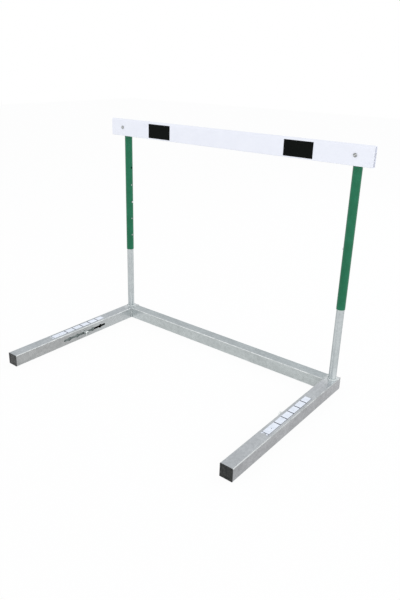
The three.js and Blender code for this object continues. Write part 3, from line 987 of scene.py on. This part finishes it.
bisect(label, (-label_x, 0, 0), (1, 0, 0))
pick(label, "VERT", lambda point: point.y < label_front_y + hair and abs(point.x + label_x) < hair)
bpy.ops.transform.translate(value=(0, label_tail, 0))
for line_y, line_width in (*label_lines, (mark_y, mark_length)):
    for edge in (-line_width / 2, line_width / 2):
        bisect(label, (0, line_y + edge, 0), (0, 1, 0))
for across in (-label_width / 2 + label_border, -mark_width / 2, mark_width / 2):
    bisect(label, (across - label_x, 0, 0), (1, 0, 0))
done()
label.data.materials.append(label_film)
label.data.materials.append(label_ink)
for face in label.data.polygons:
    across = face.center.x + label_x
    on_line = any(abs(face.center.y - line_y) < line_width / 2 for line_y, line_width in label_lines)
    on_mark = abs(face.center.y - mark_y) < mark_length / 2 and abs(across) < mark_width / 2
    if on_line or on_mark or across < -label_width / 2 + label_border:
        face.material_index = 1
label_right = moved(mirrored(label, "scale_strip_right"), (leg_x - label_x, right_slot_shift, 0))
for side, piece in (("left", label), ("right", label_right)):
    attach(piece, "base")
    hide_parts("scale_label_" + side)


# Lower uprights. Round aluminium tube stood on the rear end of each leg, with one hole for the
# spring button, a black plug in its hidden top, and a rippled weld all round its foot.
# Painted light: the colour is painted lighter towards the foot, below 12 cm and most of all near 5 cm.
upright_metal = mill_aluminium(
    "upright aluminium", (0, 0, 0), (0.45, 0.486, 0.495, 1), (0.64, 0.68, 0.689, 1), (0.12, 0.05),
    grazing=(0.3, 0.31, 0.32, 1),
)
sleeve_radius = 0.016
sleeve_wall = 0.0015
slide_gap = 0.0003
lower_radius = sleeve_radius - sleeve_wall - slide_gap
lower_wall = 0.0018
lower_foot = tube_size + seat_gap
lower_top = 0.6634
button_height = 0.5534
hole_radius = 0.0043


def round_tube(name, radius, wall, foot, top, sides=72):
    bpy.ops.object.select_all(action="DESELECT")
    bpy.ops.mesh.primitive_cylinder_add(
        vertices=sides,
        radius=radius,
        depth=top - foot,
        end_fill_type="NOTHING",
        location=(-upright_x, upright_y, (foot + top) / 2),
    )
    tube = settle(name)
    apply(tube, "SOLIDIFY", thickness=wall, offset=-1, use_even_offset=True)
    return tube


lower_left = round_tube("lower_upright_left", lower_radius, lower_wall, lower_foot, lower_top)
hole_x = -upright_x + lower_radius - lower_wall / 2
cut_out(lower_left, rod(hole_radius, tool_length, (hole_x, upright_y, button_height), 0))
lowers = {"left": lower_left, "right": mirrored(lower_left, "lower_upright_right")}
for side, piece in lowers.items():
    smooth(piece)
    place_piece(piece, upright_metal, "base", "bright_tube", "lower_tube_" + side)
    dress("lower_tube_plug_" + side, black_plastic)

ring_steps = 216
ring_outset = 0.0018
ring_radius = lower_radius + ring_outset
ring_thickness = 0.0031
ring_rise = 0.0008
bpy.ops.object.select_all(action="DESELECT")
bpy.ops.mesh.primitive_torus_add(
    major_segments=ring_steps,
    minor_segments=16,
    major_radius=ring_radius,
    minor_radius=ring_thickness,
    location=(-upright_x, upright_y, lower_foot + ring_rise),
)
foot_bead = settle("foot_bead_left")


def on_ripple(point):
    turn = math.atan2(point.y - upright_y, point.x + upright_x)
    return round(turn / (2 * math.pi) * ring_steps) % 3 == 0


pick(foot_bead, "VERT", on_ripple)
bpy.ops.transform.shrink_fatten(value=ripple_swell)
pick(foot_bead, "FACE", lambda centre, normal: True)
bpy.ops.mesh.bisect(
    plane_co=(0, 0, lower_foot), plane_no=(0, 0, 1), use_fill=True, clear_inner=True
)
done()
# The foot weld is a lighter copy of the corner weld's metal: painted highlight.
foot_weld = weld_metal("foot weld", (0.5, 0.535, 0.54, 1), (0.7, 0.735, 0.74, 1))
foot_beads = {"left": foot_bead, "right": mirrored(foot_bead, "foot_bead_right")}
for side, piece in foot_beads.items():
    smooth(piece, 60)
    place_piece(piece, foot_weld, "base", "weld_metal", "foot_weld_" + side)


# Spring buttons. A strip of spring steel bent to a V inside each lower upright pushes a round
# button out through the hole, so that it locks the green tube at one of five heights.
button_radius = 0.0039
button_proud = 0.0036
button_round = 0.0012
clip_reach = 0.0106
clip_depth = 0.042
clip_width = 0.007
clip_thickness = 0.0008
clip_line = [(1, 0.2), (1, -0.22), (0.62, -0.7), (0, -1), (-0.62, -0.7), (-1, -0.22), (-1, 0.12)]

clip_places = [
    Vector((-upright_x + across * clip_reach, upright_y, button_height + up * clip_depth))
    for across, up in clip_line
]
bpy.ops.object.select_all(action="DESELECT")
bpy.ops.mesh.primitive_plane_add(size=clip_width, location=clip_places[0], rotation=(0, quarter, 0))
strip = settle("clip strip")
pick(strip, "VERT", lambda point: point.z > clip_places[0].z)
bpy.ops.mesh.delete(type="VERT")
pick(strip, "VERT", lambda point: True)
bpy.ops.transform.translate(value=(0, 0, clip_width / 2))
for here, there in zip(clip_places, clip_places[1:]):
    bpy.ops.mesh.extrude_region_move(TRANSFORM_OT_translate={"value": there - here})
done()
apply(strip, "SUBSURF", levels=2, render_levels=2)
apply(strip, "SOLIDIFY", thickness=clip_thickness, offset=0)
button_length = sleeve_radius + button_proud - clip_reach
button_middle = -upright_x + clip_reach + button_length / 2
button = rod(button_radius, button_length, (button_middle, upright_y, button_height), 0)
button_face = -upright_x + sleeve_radius + button_proud
pick(button, "EDGE", lambda a, b: min(a.x, b.x) > button_face - hair)
bpy.ops.mesh.bevel(offset=button_round, segments=5, affect="EDGES")
done()
clip_left = joined("button_clip_left", button, strip)
clip_right = mirrored(clip_left, "button_clip_right")
for side, piece, sign in (("left", clip_left, 1), ("right", clip_right, -1)):
    smooth(piece, 40)
    place_piece(piece, spring_wire, "snap_" + side, "spring_steel", "snap_clip_" + side)
    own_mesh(piece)


# Upper uprights. Round tube with semi-gloss green paint, a row of five holes on its inner side,
# a hole through its top for the board's screw, and a domed black plug.
green_paint, tree, place = new_material("green paint")
orange_peel = noise(tree, place, 650, 1, 0.5)
paint_tone = noise(tree, place, 22, 4, 0.6)
rubbed_place = add_node(tree, "ShaderNodeMapping", {"Vector": place, "Scale": (600, 600, 30)})
rubbed = noise(tree, rubbed_place.outputs[0], 1, 3, 0.7)
paint_colour = mix_colours(
    tree, spread(tree, paint_tone, 0.3, 0.7), (0.006, 0.124, 0.056, 1), (0.012, 0.163, 0.082, 1)
)
rubbed_share = spread(tree, rubbed, 0.66, 0.78, 0, 0.5)
paint_colour = mix_colours(tree, rubbed_share, paint_colour, (0.06, 0.24, 0.15, 1))
finish_surface(
    tree,
    {
        "Base Color": paint_colour,
        "Roughness": spread(tree, paint_tone, 0.3, 0.7, 0.3, 0.22),
        "Specular IOR Level": 0.25,
    },
    orange_peel,
    0.00003,
    0.2,
)

sleeve_foot = 0.332
sleeve_top = 0.9044
setting_pitch = 0.0762
board_middle_z = 0.8794
screw_bore = 0.0033
bore_tool_length = 0.04

sleeve_left = round_tube("green_tube_left", sleeve_radius, sleeve_wall, sleeve_foot, sleeve_top)
sleeve_wall_x = -upright_x + sleeve_radius - sleeve_wall / 2
for setting in range(-2, 3):
    hole_z = button_height + setting * setting_pitch
    cut_out(sleeve_left, rod(hole_radius, tool_length, (sleeve_wall_x, upright_y, hole_z), 0))
cut_out(sleeve_left, rod(screw_bore, bore_tool_length, (-upright_x, upright_y, board_middle_z), 1, 32))
sleeves = {"left": sleeve_left, "right": mirrored(sleeve_left, "green_tube_right")}
for side, piece in sleeves.items():
    smooth(piece)
    place_piece(piece, green_paint, "upper", "green_paint", "sleeve_" + side)

cap_thickness = 0.002
cap_depth = 0.014
cap_round = 0.0015
cap_wall = 0.002
cap_z = sleeve_top + seat_gap + cap_thickness / 2
cap = rod(sleeve_radius, cap_thickness, (-upright_x, upright_y, cap_z), 2)
pick(cap, "EDGE", lambda a, b: min(a.z, b.z) > sleeve_top + cap_thickness)
bpy.ops.mesh.bevel(offset=cap_round, segments=5, affect="EDGES")
pick(cap, "FACE", lambda centre, normal: normal.z < -0.9)
bpy.ops.mesh.inset(thickness=sleeve_wall + slide_gap)
bpy.ops.mesh.extrude_region_move(TRANSFORM_OT_translate={"value": (0, 0, -cap_depth)})
bpy.ops.mesh.inset(thickness=cap_wall)
bpy.ops.mesh.extrude_region_move(TRANSFORM_OT_translate={"value": (0, 0, cap_depth)})
done()
caps = {"left": cap, "right": mirrored(cap, "tube_cap_right")}
cap.name = "tube_cap_left"
for side, piece in caps.items():
    smooth(piece)
    place_piece(piece, black_plastic, "upper", "black_plastic", "sleeve_plug_" + side)


# Top board. Extruded white plastic, hollow, with a round top edge, small round corners below and
# two webs inside. Its ends are sawn square and left open.
board_plastic, tree, place = new_material("board plastic")
die_place = add_node(tree, "ShaderNodeMapping", {"Vector": place, "Scale": (3, 260, 260)})
die_lines = noise(tree, die_place.outputs[0], 1, 3, 0.6)
board_cloud = noise(tree, place, 14, 3, 0.6)
board_colour = mix_colours(
    tree, spread(tree, board_cloud, 0.3, 0.7), (0.835, 0.85, 0.925, 1), (0.86, 0.875, 0.945, 1)
)
finish_surface(
    tree,
    {
        "Base Color": board_colour,
        "Roughness": spread(tree, die_lines, 0.3, 0.7, 0.36, 0.5),
        "Specular IOR Level": 0.35,
    },
    die_lines,
    0.00004,
    0.3,
)

board_length = 1.18
board_back_y = upright_y - sleeve_radius - seat_gap
board_thickness = 0.018
board_front_y = board_back_y - board_thickness
board_height = 0.07
board_wall = 0.0022
board_web = 0.0016
board_low_round = 0.003
web_setback = 0.0002
web_overlap = 0.0002
board_middle_chamber = 0.024
board_y = (board_front_y + board_back_y) / 2
board_foot_z = board_middle_z - board_height / 2

board = block("board_shell", (0, board_y, board_middle_z), (board_length, board_thickness, board_height))
pick(board, "EDGE", lambda a, b: min(a.z, b.z) > board_middle_z and abs(b.x - a.x) > board_length / 2)
bpy.ops.mesh.bevel(offset=board_thickness / 2 - hair, segments=12, affect="EDGES")
pick(board, "EDGE", lambda a, b: max(a.z, b.z) < board_foot_z + hair and abs(b.x - a.x) > board_length / 2)
bpy.ops.mesh.bevel(offset=board_low_round, segments=5, affect="EDGES")
pick(board, "FACE", lambda centre, normal: abs(normal.x) > 0.9)
bpy.ops.mesh.delete(type="FACE")
done()
apply(board, "SOLIDIFY", thickness=board_wall, offset=-1, use_even_offset=True)
web_depth = board_thickness - 2 * board_wall + web_overlap
webs = []
for sign in (-1, 1):
    web_z = board_middle_z + sign * (board_middle_chamber + board_web) / 2
    webs.append(block("web", (0, board_y, web_z), (board_length - web_setback, web_depth, board_web)))
board = joined("top_board", board, *webs)
smooth(board)
place_piece(board, board_plastic, "upper", "white_board", "top_bar")


# Black panels. Thin black film with square corners, stuck on the board's front on either side.
panel_film = moulded_plastic(
    "black film", (0.002, 0.003, 0.0025, 1), (0.006, 0.007, 0.0065, 1), 700, 0.5, 0.05
)
panel_length = 0.114
panel_height = 0.056
panel_thickness = 0.0003
panel_round = 0.0008
panel_foot_gap = 0.005
panel_x = 0.319
panel_z = board_foot_z + panel_foot_gap + panel_height / 2

panel = block(
    "black_panel_left",
    (-panel_x, board_front_y - seat_gap - panel_thickness / 2, panel_z),
    (panel_length, panel_thickness, panel_height),
)
pick(panel, "EDGE", lambda a, b: abs(b.y - a.y) > panel_thickness / 2)
bpy.ops.mesh.bevel(offset=panel_round, segments=3, affect="EDGES")
done()
panels = {"left": panel, "right": mirrored(panel, "black_panel_right")}
for side, piece in panels.items():
    smooth(piece)
    place_piece(piece, panel_film, "upper", "black_panel", "bar_panel_" + side)


# Board screws. One round-headed slotted screw goes through the board, a spacer inside it and the
# green tube at each end, and is held behind by a washer and a lock nut.
head_radius = 0.007
head_height = 0.0036
head_round = 0.0034
shank_radius = 0.003
shank_length = 0.0594
slot_width = 0.0018
slot_depth = 0.0016
slot_tool_length = 0.02
slot_turns = {"left": 40, "right": -30}
# The screw heads get a darker copy of the zinc plating as painted shade, and their slots a near-white copy
# as a painted highlight.
screw_shaded_zinc = plated_zinc("screw shaded zinc", (0.26, 0.27, 0.27, 1), (0.42, 0.43, 0.43, 1))
slot_highlight_zinc = plated_zinc("slot painted highlight zinc", (0.8, 0.82, 0.83, 1), (0.9, 0.91, 0.92, 1))
head_back_y = board_front_y - seat_gap

screw = rod(head_radius, head_height, (-upright_x, head_back_y - head_height / 2, board_middle_z), 1)
pick(screw, "EDGE", lambda a, b: max(a.y, b.y) < head_back_y - head_height + hair)
bpy.ops.mesh.bevel(offset=head_round, segments=10, profile=0.5, affect="EDGES")
pick(screw, "FACE", lambda centre, normal: normal.y > 0.9)
bpy.ops.mesh.inset(thickness=head_radius - shank_radius)
bpy.ops.mesh.extrude_region_move(TRANSFORM_OT_translate={"value": (0, shank_length, 0)})
done()
screw.name = "board_screw_left"
screw_right = moved(copy_of(screw, "board_screw_right"), (2 * upright_x, 0, 0))
for side, piece, screw_x in (("left", screw, -upright_x), ("right", screw_right, upright_x)):
    turn = math.radians(slot_turns[side])
    head_face = (screw_x, head_back_y - head_height, board_middle_z)
    slot_size = (slot_tool_length, 2 * slot_depth, slot_width)
    cut_out(piece, block("slot tool", head_face, slot_size, (0, turn, 0)))
    smooth(piece, 40)
    place_piece(piece, screw_shaded_zinc, "upper", "zinc_steel", "bar_screw_" + side)
    piece.data.materials.append(slot_highlight_zinc)
    for face in piece.data.polygons:
        off = face.center - Vector((screw_x, head_back_y, board_middle_z))
        across = off.x * math.sin(turn) + off.z * math.cos(turn)
        if off.y < -1e-4 and abs(across) < slot_width / 2 + hair:
            face.material_index = 1

washer_radius = 0.006
washer_thickness = 0.0012
washer_round = 0.0002
back_of_tube = upright_y + sleeve_radius + seat_gap
washer_y = back_of_tube + washer_thickness / 2
washer = rod(washer_radius, washer_thickness, (-upright_x, washer_y, board_middle_z), 1)
pick(washer, "EDGE", lambda a, b: abs(a.y - b.y) < 1e-6)
bpy.ops.mesh.bevel(offset=washer_round, segments=2, affect="EDGES")
done()
cut_out(washer, rod(screw_bore, bore_tool_length, (-upright_x, back_of_tube, board_middle_z), 1))

nut_radius = 0.00577
nut_height = 0.004
collar_radius = 0.0045
collar_height = 0.002
nut_round = 0.0004
collar_round = 0.0007
nut_y = back_of_tube + washer_thickness + seat_gap
nut = rod(nut_radius, nut_height, (-upright_x, nut_y + nut_height / 2, board_middle_z), 1, 6)
pick(nut, "FACE", lambda centre, normal: normal.y > 0.9)
bpy.ops.mesh.bevel(offset=nut_round, segments=2, affect="EDGES")
done()
nut_collar = rod(
    collar_radius, 2 * collar_height, (-upright_x, nut_y + nut_height, board_middle_z), 1
)
pick(nut_collar, "EDGE", lambda a, b: min(a.y, b.y) > nut_y + nut_height)
bpy.ops.mesh.bevel(offset=collar_round, segments=4, affect="EDGES")
done()
apply(nut, "BOOLEAN", operation="UNION", solver="EXACT", object=nut_collar)
bpy.data.objects.remove(nut_collar)
cut_out(nut, rod(screw_bore, bore_tool_length, (-upright_x, nut_y, board_middle_z), 1))
for first, name, node in ((washer, "screw_washer_", "bar_washer_"), (nut, "lock_nut_", "bar_nut_")):
    first.name = name + "left"
    pair = {"left": first, "right": mirrored(first, name + "right")}
    for side, piece in pair.items():
        smooth(piece)
        place_piece(piece, zinc_plate, "upper", "zinc_steel", node + side)
for side in ("left", "right"):
    dress("bar_spacer_" + side, board_plastic)
